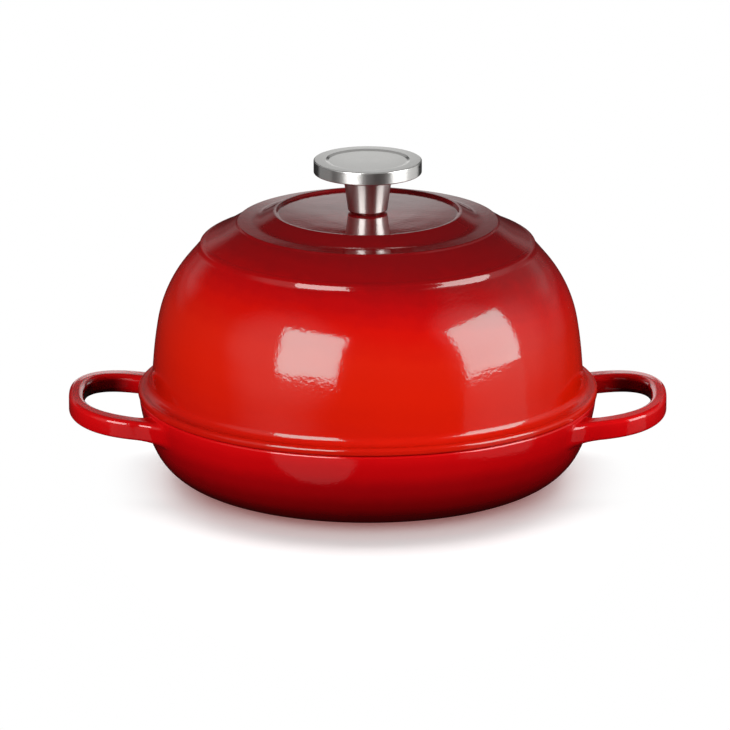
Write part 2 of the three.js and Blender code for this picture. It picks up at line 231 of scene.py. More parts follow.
fills = [
    softbox("fill from behind", 180, 10, 60, 40, 2.2),
    softbox("fill from the left", -80, 10, 40, 40, 0.6),
    aimed_lamp("fill from below", (0, 0, -1.5), (3.0, 3.0), 0.3)]
for fill in fills:
    fill.visible_glossy = False
sheens = []
for hand in (-1, 1):
    sheen = aimed_lamp("sheen on a handle", (hand * SHEEN_PLACE[0], *SHEEN_PLACE[1:]), SHEEN_SIZE, 1.0)
    sheen.rotation_euler = (-math.pi / 2, 0, 0)
    sheens.append(sheen)
knob_cards = [
    softbox("card left of the knob", -104, -14, 44, 44, 0.25),
    softbox("card right of the knob", 110, -14, 48, 44, 0.6),
    softbox("card in front of the knob", 0, 16, 26, 26, 0.35),
    aimed_lamp("card above the knob", (0, 0, 1.2), (4.8, 4.8), 0.35)]
screw_card = aimed_lamp("card below the screw", (0, 0, -1.4), (5.0, 5.0), 0.4)
paper_lamps = [
    aimed_lamp("paper lamp above", (0, 0, 2.0), (9.0, 9.0), 1.0),
    softbox("paper lamp behind", 180, 58, 70, 50, 3.2, 2.5)]
lamps = [left_box, right_box, left_glint, right_glint, *fills, *sheens, *knob_cards, screw_card, *paper_lamps]
print("lamps:", [lamp.name for lamp in lamps])

# %% [markdown]
# Light linking says which things a lamp lights and which ones can shade it. The paper's lamps light the paper only, and
# the oven still throws its shadow there. The softboxes and fills light all but the paper, and the paper doesn't stand
# in the way of those from below. The sheens and the left box in the table are for the pan, and the cards for the metal.
# Those two collections are still empty: each piece joins when it is made.

# %% Which lamp lights what
paper_only, all_but_paper, pan_only, metal_only = [
    bpy.data.collections.new(name) for name in ("paper only", "all but paper", "pan only", "metal only")]
paper_only.objects.link(paper)
all_but_paper.objects.link(paper)
all_but_paper.collection_objects[0].light_linking.link_state = "EXCLUDE"
for receivers, lit_by in (
    (paper_only, paper_lamps), (all_but_paper, [left_box, right_box, right_glint, *fills]),
    (pan_only, [left_glint, *sheens]), (metal_only, [*knob_cards, screw_card]),
):
    for lamp in lit_by:
        lamp.light_linking.receiver_collection = receivers
for lamp in (left_box, right_box, right_glint, *fills, screw_card):
    lamp.light_linking.blocker_collection = all_but_paper
print("linked lamps:", sum(lamp.light_linking.receiver_collection is not None for lamp in lamps), "of", len(lamps))

# %% [markdown]
# ## White card
# A white card stands close behind the oven and bends forward at both ends, out of the picture. Only mirrored rays see
# it. It shows in the surfaces that lie flat: the dish around the knob, the flange, the tops of the handles. Its middle
# is the brightest, narrower towards the top, and fades out there, so that the dish is pale at the back and red at the
# front. Where it isn't lit, it is clear and lets the cloth behind it be seen.

# %% Card
CARD_HALF, CARD_BACK, CARD_FRONT, CARD_HIGH = 0.6, 0.6, 0.03, 0.42
MIDDLE_BRIGHT, MIDDLE_EDGE, MIDDLE_TAPER = 0.84, (0.262, 0.165), 0.5
WING_BRIGHT, WING_RISE = (0.08, 0.22), (0.235, 0.28)
CARD_FADES = [("Z", 0.41, 0.32), ("Z", 0.12, 0.2), ("Y", 0.3, 0.55)]

card_mesh = bpy.data.meshes.new("card")
plan = [(-CARD_HALF, CARD_FRONT), (-CARD_HALF, CARD_BACK), (CARD_HALF, CARD_BACK), (CARD_HALF, CARD_FRONT)]
card_mesh.from_pydata(
    [(x, y, z) for z in (0, CARD_HIGH) for x, y in plan], [], [(i, i + 1, i + 5, i + 4) for i in range(3)])
card = bpy.data.objects.new("card", card_mesh)
scene.collection.objects.link(card)
card.visible_camera = card.visible_diffuse = card.visible_shadow = False

# A soft patch of light with no edge.
lit_card, nodes = bare_material("lit card")
axes = add(nodes, "ShaderNodeSeparateXYZ", None, {0: add(nodes, "ShaderNodeTexCoord").outputs["Object"]})
aside = add(nodes, "ShaderNodeMath", {"operation": "ABSOLUTE"}, {0: axes.outputs["X"]})
tapered = add(nodes, "ShaderNodeMath", {"operation": "MULTIPLY_ADD"}, {
    0: axes.outputs["Z"], 1: MIDDLE_TAPER, 2: aside.outputs[0]})
wing = add(nodes, "ShaderNodeMapRange", None, {
    "Value": axes.outputs["Z"], "From Min": WING_RISE[0], "From Max": WING_RISE[1],
    "To Min": WING_BRIGHT[0], "To Max": WING_BRIGHT[1]})
middle = add(nodes, "ShaderNodeMapRange", SOFT, {
    "Value": tapered.outputs[0], "From Min": MIDDLE_EDGE[0], "From Max": MIDDLE_EDGE[1],
    "To Min": wing.outputs["Result"], "To Max": MIDDLE_BRIGHT})
bright = middle.outputs["Result"]
for axis, dark_at, lit_at in CARD_FADES:
    fade = add(nodes, "ShaderNodeMapRange", SOFT, {
        "Value": axes.outputs[axis], "From Min": dark_at, "From Max": lit_at})
    bright = add(nodes, "ShaderNodeMath", {"operation": "MULTIPLY"}, {0: bright, 1: fade.outputs["Result"]}).outputs[0]
glow = add(nodes, "ShaderNodeEmission", None, {"Color": WHITE, "Strength": bright})
clear = add(nodes, "ShaderNodeBsdfTransparent")
both = add(nodes, "ShaderNodeAddShader", None, {0: glow.outputs[0], 1: clear.outputs[0]})
add(nodes, "ShaderNodeOutputMaterial", None, {"Surface": both.outputs[0]})
card_mesh.materials.append(lit_card)
print("card size in m:", (2 * CARD_HALF, CARD_HIGH))

# %% [markdown]
# ## Dark cloth
# Dark cloth hangs all around the set, as photographers hang it around glossy things. Only mirrored rays see it. Each
# softbox spills a weak glow on it, which turns the dome's sides from flat to round, and towards the floor it is
# darkest. A large ball is the simplest cloth that has no corners to be mirrored.

# %% Dark cloth
CLOTH_DISTANCE = 8.0
CLOTH_LIGHT = 0.025
CLOTH_LOW, CLOTH_FADE = 0.15, (-0.35, -0.05)
SPILLS = [(-50, 18, 0.45, 42), (80, 14, 0.35, 42), (66, 34, 0.5, 24), (112, 12, 0.18, 36)]

cloth_mesh = bpy.data.meshes.new("dark cloth")
ball = bmesh.new()
bmesh.ops.create_uvsphere(ball, u_segments=48, v_segments=24, radius=CLOTH_DISTANCE)
ball.to_mesh(cloth_mesh)
ball.free()
cloth = bpy.data.objects.new("dark cloth", cloth_mesh)
scene.collection.objects.link(cloth)
cloth.visible_camera = cloth.visible_diffuse = cloth.visible_shadow = False

# Nearly black, with glows that fade without an edge.
dark_cloth, nodes = bare_material("dark cloth")
dark_cloth.cycles.emission_sampling = "NONE"
place = add(nodes, "ShaderNodeTexCoord")
way = add(nodes, "ShaderNodeVectorMath", {"operation": "NORMALIZE"}, {0: place.outputs["Object"]})
bright = CLOTH_LIGHT
for turn, lift, strength, reach in SPILLS:
    near = add(nodes, "ShaderNodeVectorMath", {"operation": "DOT_PRODUCT"}, {
        0: way.outputs[0], 1: direction(turn, lift)})
    spill = add(nodes, "ShaderNodeMapRange", {"interpolation_type": "SMOOTHERSTEP"}, {
        "Value": near.outputs["Value"], "From Min": math.cos(math.radians(reach)), "From Max": 1.0,
        "To Max": strength})
    bright = add(nodes, "ShaderNodeMath", {"operation": "ADD"}, {0: bright, 1: spill.outputs["Result"]}).outputs[0]
axes = add(nodes, "ShaderNodeSeparateXYZ", None, {0: way.outputs[0]})
level = add(nodes, "ShaderNodeMapRange", None, {
    "Value": axes.outputs["Z"], "From Min": CLOTH_FADE[0], "From Max": CLOTH_FADE[1], "To Min": CLOTH_LOW})
dimmed = add(nodes, "ShaderNodeMath", {"operation": "MULTIPLY"}, {0: bright, 1: level.outputs["Result"]})
glow = add(nodes, "ShaderNodeEmission", None, {"Color": WHITE, "Strength": dimmed.outputs[0]})
add(nodes, "ShaderNodeOutputMaterial", None, {"Surface": glow.outputs[0]})
cloth_mesh.materials.append(dark_cloth)
print("glows on the cloth:", len(SPILLS))

# %% [markdown]
# ## World
# The world is what every ray meets that misses all else: white, like the paper, to rays that are seen, mirrored or
# refracted, and an even dim light to scattered ones, weaker from below.

# %% World
ROOM_LIGHT, ROOM_FADE = (0.07, 0.16), (-0.3, 0.3)

world = bpy.data.worlds.new("studio")
world.use_nodes = True
scene.world = world
nodes = world.node_tree
nodes.nodes.clear()
way = add(nodes, "ShaderNodeTexCoord")
axes = add(nodes, "ShaderNodeSeparateXYZ", None, {0: way.outputs["Generated"]})
even = add(nodes, "ShaderNodeMapRange", None, {
    "Value": axes.outputs["Z"], "From Min": ROOM_FADE[0], "From Max": ROOM_FADE[1],
    "To Min": ROOM_LIGHT[0], "To Max": ROOM_LIGHT[1]})
scattered = add(nodes, "ShaderNodeBackground", None, {"Color": WHITE, "Strength": even.outputs["Result"]})
white = add(nodes, "ShaderNodeBackground", None, {"Color": WHITE, "Strength": 1.0})
sky = add(nodes, "ShaderNodeMixShader", None, {0: seen_ray(nodes), 1: scattered.outputs[0], 2: white.outputs[0]})
add(nodes, "ShaderNodeOutputWorld", None, {"Surface": sky.outputs[0]})
print("world nodes:", len(nodes.nodes))

# %% [markdown]
# ## Red enamel
# Enamel is glass melted onto the iron. On the lid the maker sprays a light red over the middle of the dome and a darker
# one towards its edges and the crown, so the colour fades from orange-red through crimson to burgundy. A colour ramp on
# the height gives that fade. On the pan the same kind of ramp darkens the red towards the foot: that is painted shade,
# where the wall turns down away from the lamps. A soft mottle drifts the fade a little, and on the lid the fade leans:
# the dark starts lower on the right side. Inside the loops of the handles and on their undersides the red turns to a
# dark maroon, which is painted shade too: a value that the mesh carries, named shade, says where. The level underside
# of the foot keeps a plain red, without the painted shade of the wall.
# The glass flows as it melts and never lies quite flat. A wide sag bends every reflection, and a fine orange peel
# breaks up its edges. The peel is drawn several times deeper than it is, so that it shows at this size.
# A mirrored softbox on the bright red of the lid looks rosy and not like white paint: the red of the glint is held
# back there by the shader's Specular Tint.

# %% Red enamel
PEEL_PITCH, PEEL_HEIGHT = 1.9, 0.045
SAG_PITCH, SAG_HEIGHT = 14.0, 0.09
MOTTLE_PITCH, MOTTLE_DRIFT = 9.0, 0.03
# The dark maroon of the painted shade inside and under the handle loops.
LOOP_SHADE_COLOUR = "#300104"
ENAMEL_ROUGHNESS, ENAMEL_IOR = 0.085, 1.58
GLINT_RED, GLINT_BLUE = 0.3, 0.96
LEVEL_FOOT = (-0.985, -0.998)


def new_finish(name):
    finish, tree = bare_material(name)
    shader = add(tree, "ShaderNodeBsdfPrincipled")
    add(tree, "ShaderNodeOutputMaterial", None, {"Surface": shader.outputs[0]})
    return finish, tree, shader


def per_metre(pitch):
    return 1 / (pitch * MM)


def red_enamel(name, fade, lean=0.0, held=None, under=None):
    """fade: heights and colours; lean: rise per length to the right; held: heights between which glints turn white."""
    finish, tree, shader = new_finish(name)
    spots = add(tree, "ShaderNodeTexCoord")
    place = spots.outputs["Object"]
    axes = add(tree, "ShaderNodeSeparateXYZ", None, {0: place})
    low, high = fade[0][0], fade[-1][0]
    leaning = add(tree, "ShaderNodeMath", {"operation": "MULTIPLY_ADD"}, {
        0: axes.outputs["X"], 1: lean, 2: axes.outputs["Z"]})
    share = add(tree, "ShaderNodeMapRange", None, {
        "Value": leaning.outputs[0], "From Min": low * MM, "From Max": high * MM})
    mottle = add(tree, "ShaderNodeTexNoise", None, {
        "Vector": place, "Scale": per_metre(MOTTLE_PITCH), "Detail": 2.0})
    drift = add(tree, "ShaderNodeMapRange", None, {
        "Value": mottle.outputs["Fac"], "To Min": -MOTTLE_DRIFT, "To Max": MOTTLE_DRIFT})
    spot = add(tree, "ShaderNodeMath", {"operation": "ADD"}, {
        0: share.outputs["Result"], 1: drift.outputs["Result"]})
    ramp = add(tree, "ShaderNodeValToRGB", None, {"Fac": spot.outputs[0]})
    ramp.color_ramp.interpolation = "EASE"
    stops = ramp.color_ramp.elements
    while len(stops) < len(fade):
        stops.new(0.5)
    for stop, (height, colour) in zip(stops, fade):
        stop.position, stop.color = (height - low) / (high - low), linear(colour)
    # Painted shade: where the mesh's value named shade is high, the red turns to a dark maroon.
    shaded = add(tree, "ShaderNodeAttribute", {"attribute_name": "shade"})
    tint = add(tree, "ShaderNodeMix", {"data_type": "RGBA"}, {
        "Factor": shaded.outputs["Fac"], "A": ramp.outputs["Color"], "B": linear(LOOP_SHADE_COLOUR)})
    if under:
        facing = add(tree, "ShaderNodeSeparateXYZ", None, {0: spots.outputs["Normal"]})
        down = add(tree, "ShaderNodeMapRange", None, {
            "Value": facing.outputs["Z"], "From Min": LEVEL_FOOT[0], "From Max": LEVEL_FOOT[1]})
        tint = add(tree, "ShaderNodeMix", {"data_type": "RGBA"}, {
            "Factor": down.outputs["Result"], "A": tint.outputs["Result"], "B": linear(under)})
    sag = add(tree, "ShaderNodeTexNoise", None, {"Vector": place, "Scale": per_metre(SAG_PITCH), "Detail": 0.0})
    peel = add(tree, "ShaderNodeTexNoise", None, {"Vector": place, "Scale": per_metre(PEEL_PITCH), "Detail": 1.0})
    waves = add(tree, "ShaderNodeBump", None, {"Height": sag.outputs["Fac"], "Distance": SAG_HEIGHT * MM})
    skin = add(tree, "ShaderNodeBump", None, {
        "Height": peel.outputs["Fac"], "Distance": PEEL_HEIGHT * MM, "Normal": waves.outputs["Normal"]})
    tree.links.new(tint.outputs["Result"], shader.inputs["Base Color"])
    tree.links.new(skin.outputs["Normal"], shader.inputs["Normal"])
    shader.inputs["Roughness"].default_value = ENAMEL_ROUGHNESS
    shader.inputs["IOR"].default_value = ENAMEL_IOR
    if held:
        whole = add(tree, "ShaderNodeMapRange", None, {
            "Value": axes.outputs["Z"], "From Min": held[0] * MM, "From Max": held[1] * MM, "To Min": GLINT_RED})
        glint = add(tree, "ShaderNodeCombineColor", None, {
            "Red": whole.outputs["Result"], "Green": 1.0, "Blue": GLINT_BLUE})
        tree.links.new(glint.outputs[0], shader.inputs["Specular Tint"])
    return finish


# Wet gloss over glowing red: boxes with clear edges on the dome, and a crown as dark as wine.
lid_enamel = red_enamel("red enamel, lid", [
    (40, "#be1208"), (50, "#c41507"), (58, "#ca1706"), (66, "#ce1804"), (80, "#d21a04"), (96, "#d01b07"),
    (104, "#cb1606"), (113, "#c80e05"), (118, "#be0a07"), (124, "#b10709"), (130, "#a2070a"), (136, "#8e080c"),
    (146, "#7c0a0e"), (153, "#700b0f")], lean=0.085, held=(122, 133))
# The same gloss over a red that sinks to nearly black at the foot: painted shade, where the wall turns down.
pan_enamel = red_enamel("red enamel, pan", [
    (0, "#500104"), (8, "#600104"), (16, "#7e0105"), (26, "#9c0208"), (38, "#be050a"), (48, "#ce090d")],
    under="#b01a14")
print("enamels:", lid_enamel.name, "and", pan_enamel.name)

# %% [markdown]
# ## Black enamel
# Inside, where the dough touches, such ovens have a hard matt black enamel with a slightly rough skin. It is nearly
# black with fine paler specks, and much less glossy than the outside. Noise makes both the specks and the skin. Real
# specks are a few tenths of a millimetre; they are drawn larger, so that they show.

# %% Black enamel
SPECK_PITCH = 1.2
GRAIN_PITCH, GRAIN_HEIGHT = 1.6, 0.03
BLACK_ROUGHNESS = 0.38

# Soft dull black: the shape inside shows by broad, weak light and not by reflections.
black_enamel, tree, shader = new_finish("black enamel, inside")
place = add(tree, "ShaderNodeTexCoord").outputs["Object"]
speck = add(tree, "ShaderNodeTexNoise", None, {"Vector": place, "Scale": per_metre(SPECK_PITCH), "Detail": 3.0})
shade = add(tree, "ShaderNodeValToRGB", None, {"Fac": speck.outputs["Fac"]})
for stop, (position, colour) in zip(shade.color_ramp.elements, [(0.55, "#242323"), (0.75, "#474645")]):
    stop.position, stop.color = position, linear(colour)
grain = add(tree, "ShaderNodeTexNoise", None, {"Vector": place, "Scale": per_metre(GRAIN_PITCH), "Detail": 2.0})
skin = add(tree, "ShaderNodeBump", None, {"Height": grain.outputs["Fac"], "Distance": GRAIN_HEIGHT * MM})
tree.links.new(shade.outputs["Color"], shader.inputs["Base Color"])
tree.links.new(skin.outputs["Normal"], shader.inputs["Normal"])
shader.inputs["Roughness"].default_value = BLACK_ROUGHNESS
print("finish:", black_enamel.name)

# %% [markdown]
# ## Turned steel
# The knob is stainless steel from a lathe. The tool leaves fine rings around the axis, so a reflection is drawn out
# across them: a softbox becomes a bright streak down the stem. The Principled shader's anisotropy does that, with a
# tangent that runs around the axis and a quarter turn. Noise on radius and height alone, and not on the angle, draws
# the rings themselves. Real rings are a tenth of a millimetre apart; they are drawn at four tenths, so that they show.
# Level faces are faced and polished finer, so roughness and stretch fall off towards them. Screw and washer are zinc
# plated: a bluer grey, and duller.

# %% Turned steel
RING_PITCH, RING_HEIGHT = 0.4, 0.0003
RING_TONES = (0.95, 1.0)
LEVEL_ROUGHNESS, LEVEL_STRETCH = 0.55, 0.3


def turned_metal(name, colour, roughness, stretch):
    finish, tree, shader = new_finish(name)
    spots = add(tree, "ShaderNodeTexCoord")
    axes = add(tree, "ShaderNodeSeparateXYZ", None, {0: spots.outputs["Object"]})
    flat = add(tree, "ShaderNodeCombineXYZ", None, {"X": axes.outputs["X"], "Y": axes.outputs["Y"]})
    radius = add(tree, "ShaderNodeVectorMath", {"operation": "LENGTH"}, {0: flat.outputs[0]})
    across = add(tree, "ShaderNodeCombineXYZ", None, {"X": radius.outputs["Value"], "Y": axes.outputs["Z"]})
    rings = add(tree, "ShaderNodeTexNoise", {"noise_dimensions": "2D"}, {
        "Vector": across.outputs[0], "Scale": per_metre(RING_PITCH), "Detail": 2.0})
    facing = add(tree, "ShaderNodeSeparateXYZ", None, {0: spots.outputs["Normal"]})
    level = add(tree, "ShaderNodeMath", {"operation": "ABSOLUTE"}, {0: facing.outputs["Z"]})
    polish = add(tree, "ShaderNodeMapRange", None, {
        "Value": level.outputs[0], "To Min": roughness, "To Max": roughness * LEVEL_ROUGHNESS})
    drawn = add(tree, "ShaderNodeMapRange", None, {
        "Value": level.outputs[0], "To Min": stretch, "To Max": stretch * LEVEL_STRETCH})
    tone = add(tree, "ShaderNodeMapRange", None, {
        "Value": rings.outputs["Fac"], "From Min": 0.3, "From Max": 0.7,
        "To Min": RING_TONES[0], "To Max": RING_TONES[1]})
    tint = add(tree, "ShaderNodeVectorMath", {"operation": "SCALE"}, {
        0: linear(colour)[:3], "Scale": tone.outputs["Result"]})
    skin = add(tree, "ShaderNodeBump", None, {"Height": rings.outputs["Fac"], "Distance": RING_HEIGHT * MM})
    around = add(tree, "ShaderNodeTangent", {"direction_type": "RADIAL", "axis": "Z"})
    for output, socket in (
        (tint.outputs[0], "Base Color"), (polish.outputs["Result"], "Roughness"), (skin.outputs["Normal"], "Normal"),
        (around.outputs[0], "Tangent"), (drawn.outputs["Result"], "Anisotropic"),
    ):
        tree.links.new(output, shader.inputs[socket])
    shader.inputs["Metallic"].default_value = 1.0
    shader.inputs["Anisotropic Rotation"].default_value = 0.25
    return finish


# Bright streaks down the stem and around the disc, with a satin top.
satin_steel = turned_metal("stainless steel, turned", "#e4e3e0", 0.3, 0.78)
# A dull bluish grey that hardly mirrors.
zinc_steel = turned_metal("zinc-plated steel", "#b4b8bf", 0.34, 0.4)
print("metals:", satin_steel.name, "and", zinc_steel.name)

# %% [markdown]
# ## Outlines
# Pan, lid, knob, screw and washer are all turned shapes, so each one is an outline of corners, in radius and height,
# with a rounding at each corner. A smooth shader averages the faces around a point, and a long flat face beside a
# small rounding would look pillowy. So each straight stretch gets an extra point close to both its ends. Blender's
# Bevel could round the corners too, but one radius would then have to serve for all of them.

# %% Outline helper
ARC_SAG = 0.008
ARC_TURN = math.radians(9)
ARC_SHARE = 0.98
SUPPORT = 0.35
LONGEST = 6.0


def arc_round(before, at, after, cut):
    one, two = [(p - at) / np.linalg.norm(p - at) for p in (before, after)]
    half = (math.pi - math.acos(np.clip(one @ two, -1, 1))) / 2
    radius = cut / math.tan(half)
    toward = (one + two) / np.linalg.norm(one + two)
    middle = at + toward * radius / math.cos(half)
    step = min(ARC_TURN, 2 * math.acos(max(1 - ARC_SAG / radius, 0.5)))
    count = max(2, math.ceil(2 * half / step))
    start, end = at + one * cut - middle, at + two * cut - middle
    sweep = math.atan2(start[0] * end[1] - start[1] * end[0], start @ end)
    turns = np.linspace(0, sweep, count + 1)
    cos, sin = np.cos(turns), np.sin(turns)
    return middle + np.stack([start[0] * cos - start[1] * sin, start[0] * sin + start[1] * cos], 1)


def outline(corners):
    """Points of a rounded outline, and for each the number of the corner it belongs to or comes after."""
    at = np.array([c[:2] for c in corners], float)
    cuts = np.zeros(len(at))
    for i in range(1, len(at) - 1):
        one, two = at[i] - at[i - 1], at[i + 1] - at[i]
        turn = abs(math.atan2(one[0] * two[1] - one[1] * two[0], one @ two))
        cuts[i] = (corners[i][2] if len(corners[i]) > 2 else 0) * math.tan(turn / 2)
    for i in range(len(at) - 1):
        room, wanted = ARC_SHARE * np.linalg.norm(at[i + 1] - at[i]), cuts[i] + cuts[i + 1]
        if wanted > room:
            cuts[i : i + 2] *= room / wanted
    arcs = [
        arc_round(at[i - 1], at[i], at[i + 1], cuts[i]) if cuts[i] > 0 else at[i : i + 1] for i in range(len(at))]
    points, owners = [], []
    for i, arc in enumerate(arcs):
        if i:
            run = np.linalg.norm(arc[0] - points[-1])
            inner = np.array([SUPPORT, *np.linspace(SUPPORT, run - SUPPORT, math.ceil(run / LONGEST) + 1)[1:]])
            for along in inner if run > 3 * SUPPORT else []:
                points.append(arcs[i - 1][-1] + (arc[0] - arcs[i - 1][-1]) * along / run)
                owners.append(i - 0.5)
        points.extend(arc)
        owners.extend([i] * len(arc))
    return np.array(points), np.array(owners)


sample, _ = outline([(0, 0), (10, 0, 3), (10, 10)])
print("points on a test corner:", len(sample))

# %% [markdown]
# ## A tree that turns outlines
# Blender's Screw or Spin could turn the outline too. A Geometry Nodes tree is chosen because it keeps the rule in
# sight: a grid has one row for each outline point and one column for each step around. Each grid point looks up its
# outline point and is swung about the axis by its step. Welding then closes the seam and the poles. The outline
# carries a mark for the stretches that lie inside, and the last nodes give the two finishes.

# %% Turning tree
turning = bpy.data.node_groups.new("turned from an outline", "GeometryNodeTree")
SOCKETS = {}
for label, way, kind in [
    ("Outline", "INPUT", "NodeSocketGeometry"), ("Steps around", "INPUT", "NodeSocketInt"),
    ("Weld distance", "INPUT", "NodeSocketFloat"), ("Outside", "INPUT", "NodeSocketMaterial"),
    ("Inside", "INPUT", "NodeSocketMaterial"), ("Solid", "OUTPUT", "NodeSocketGeometry"),
]:
    SOCKETS[label] = turning.interface.new_socket(name=label, in_out=way, socket_type=kind).identifier
given = add(turning, "NodeGroupInput")
size = add(turning, "GeometryNodeAttributeDomainSize", None, {"Geometry": given.outputs["Outline"]})
last = add(turning, "ShaderNodeMath", {"operation": "SUBTRACT"}, {0: size.outputs["Point Count"], 1: 1.0})
columns = add(turning, "ShaderNodeMath", {"operation": "ADD"}, {0: given.outputs["Steps around"], 1: 1.0})
grid = add(turning, "GeometryNodeMeshGrid", None, {
    "Size X": last.outputs[0], "Size Y": given.outputs["Steps around"],
    "Vertices X": size.outputs["Point Count"], "Vertices Y": columns.outputs[0]})
place = add(turning, "GeometryNodeInputPosition")
axes = add(turning, "ShaderNodeSeparateXYZ", None, {0: place.outputs[0]})
row = add(turning, "ShaderNodeMath", {"operation": "MULTIPLY_ADD"}, {
    0: last.outputs[0], 1: 0.5, 2: axes.outputs["X"]})
nearest = add(turning, "ShaderNodeMath", {"operation": "ROUND"}, {0: row.outputs[0]})
edge = add(turning, "ShaderNodeMath", {"operation": "FLOOR"}, {0: row.outputs[0]})
spot = add(turning, "GeometryNodeInputPosition")
point = add(turning, "GeometryNodeSampleIndex", {"data_type": "FLOAT_VECTOR"}, {
    "Geometry": given.outputs["Outline"], "Value": spot.outputs[0], "Index": nearest.outputs[0]})
mark = add(turning, "GeometryNodeInputNamedAttribute", {"data_type": "FLOAT"}, {"Name": "inside"})
side = add(turning, "GeometryNodeSampleIndex", {"data_type": "FLOAT"}, {
    "Geometry": given.outputs["Outline"], "Value": mark.outputs[0], "Index": edge.outputs[0]})
marked = add(turning, "GeometryNodeStoreNamedAttribute", {"data_type": "BOOLEAN", "domain": "FACE"}, {
    "Geometry": grid.outputs["Mesh"], "Name": "black side", "Value": side.outputs[0]})
turn = add(turning, "ShaderNodeMath", {"operation": "DIVIDE"}, {
    0: axes.outputs["Y"], 1: given.outputs["Steps around"]})
angle = add(turning, "ShaderNodeMath", {"operation": "MULTIPLY"}, {0: turn.outputs[0], 1: math.tau})
swung = add(turning, "ShaderNodeVectorRotate", {"rotation_type": "Z_AXIS"}, {
    "Vector": point.outputs[0], "Angle": angle.outputs[0]})
moved = add(turning, "GeometryNodeSetPosition", None, {
    "Geometry": marked.outputs[0], "Position": swung.outputs[0]})
welded = add(turning, "GeometryNodeMergeByDistance", None, {
    "Geometry": moved.outputs[0], "Distance": given.outputs["Weld distance"]})
outward = add(turning, "GeometryNodeFlipFaces", None, {"Mesh": welded.outputs[0]})
smooth = add(turning, "GeometryNodeSetShadeSmooth", None, {"Geometry": outward.outputs[0]})
real = add(turning, "GeometryNodeRealizeInstances", None, {"Geometry": smooth.outputs[0]})
red = add(turning, "GeometryNodeSetMaterial", None, {
    "Geometry": real.outputs[0], "Material": given.outputs["Outside"]})
inner = add(turning, "GeometryNodeInputNamedAttribute", {"data_type": "BOOLEAN"}, {"Name": "black side"})
black = add(turning, "GeometryNodeSetMaterial", None, {
    "Geometry": red.outputs[0], "Selection": inner.outputs[0], "Material": given.outputs["Inside"]})
add(turning, "NodeGroupOutput", None, {"Solid": black.outputs[0]})
print("nodes in the turning tree:", len(turning.nodes))

# %% [markdown]
# The helper below draws an outline as a chain of points, lets the tree turn it, keeps the result as a plain mesh and
# takes the tree off again. The volume of the closed mesh is a good test: it is positive only if every face points
# outwards.

# %% Turning helper
WELD = 0.002


def volume_cm3(mesh):
    shell = bmesh.new()
    shell.from_mesh(mesh)
    volume, open_edges = shell.calc_volume(signed=True), sum(not e.is_manifold for e in shell.edges)
    shell.free()
    return round(volume * 1e6, 1), open_edges


def turned(name, corners, steps, outside, inside=None, inside_until=0.0):
    points, owners = outline(corners)
    mesh = bpy.data.meshes.new(name)
    chain = [(i, i + 1) for i in range(len(points) - 1)]
    mesh.from_pydata([(r * MM, 0, z * MM) for r, z in points], chain, [])
    marks = mesh.attributes.new("inside", "FLOAT", "POINT")
    marks.data.foreach_set("value", (owners < inside_until).astype(np.float32))
    piece = bpy.data.objects.new(name, mesh)
    scene.collection.objects.link(piece)
    tree = piece.modifiers.new("turning", "NODES")
    tree.node_group = turning
    tree[SOCKETS["Steps around"]] = steps
    tree[SOCKETS["Weld distance"]] = WELD * MM
    tree[SOCKETS["Outside"]] = outside
    tree[SOCKETS["Inside"]] = inside or outside
    graph = bpy.context.evaluated_depsgraph_get()
    piece.data = bpy.data.meshes.new_from_object(piece.evaluated_get(graph))
    piece.modifiers.clear()
    piece.data.name = name
    print(name, "outline points:", len(points), "volume in cm3 and open edges:", volume_cm3(piece.data))
    return piece


# %% [markdown]
# ## Lid
# One casting: a flange that lies on the pan's rim, a low lip that keeps it in place, a dome with a slight waist, and
# a raised crown with two steps and a shallow dish where the knob stands. All of it is one outline, walked from the
# screw hole along the inside, around the lip and the flange and back up the outside. The slopes of the crown are
# slightly hollow and the dish is a very flat cone inside a narrow crest, because it is by such small leans that one
# face mirrors the white card and the next one the dark cloth. The ceiling follows the outside, as a casting wants an
# even wall.

# %% Lid sizes
RIM_R, RIM_H = 127.8, 47.8
SEAT_Z = RIM_H + 0.3
LIP_R, LIP_H = RIM_R - 8, 3
LID_WALL = 4.8
FOOT_R = LIP_R + 1.2
FLANGE_R, FLANGE_TOP = RIM_R + 0.6, SEAT_Z + 4.3
WAIST = (FOOT_R - 2.0, SEAT_Z + 30)
SHOULDER = (FOOT_R - 6.8, SEAT_Z + 60.4)
STEP_R, STEP_Z = 93.4, SEAT_Z + 86.7
RING_R, RING_Z = 72.6, SEAT_Z + 99.2
CREST_R, CREST_Z, CREST_W = 52.6, SEAT_Z + 104.8, 1.5
BAND_HOLLOW, RING_HOLLOW = (83, STEP_Z + 5.4), (62, CREST_Z - 5.0)
DISH_R, DISH_Z = CREST_R - 2.6, CREST_Z - 1.6
DISH_EDGE_Z, DISH_TOP_Z = DISH_Z + 0.2, DISH_Z + 1.15
CEILING_Z, CEILING_DROP = DISH_Z - LID_WALL, 2.6
HOLE_R = 3.5
print("lid height in mm:", round(CREST_Z - SEAT_Z + LIP_H, 1))

# %% Lid
LID_STEPS = 288

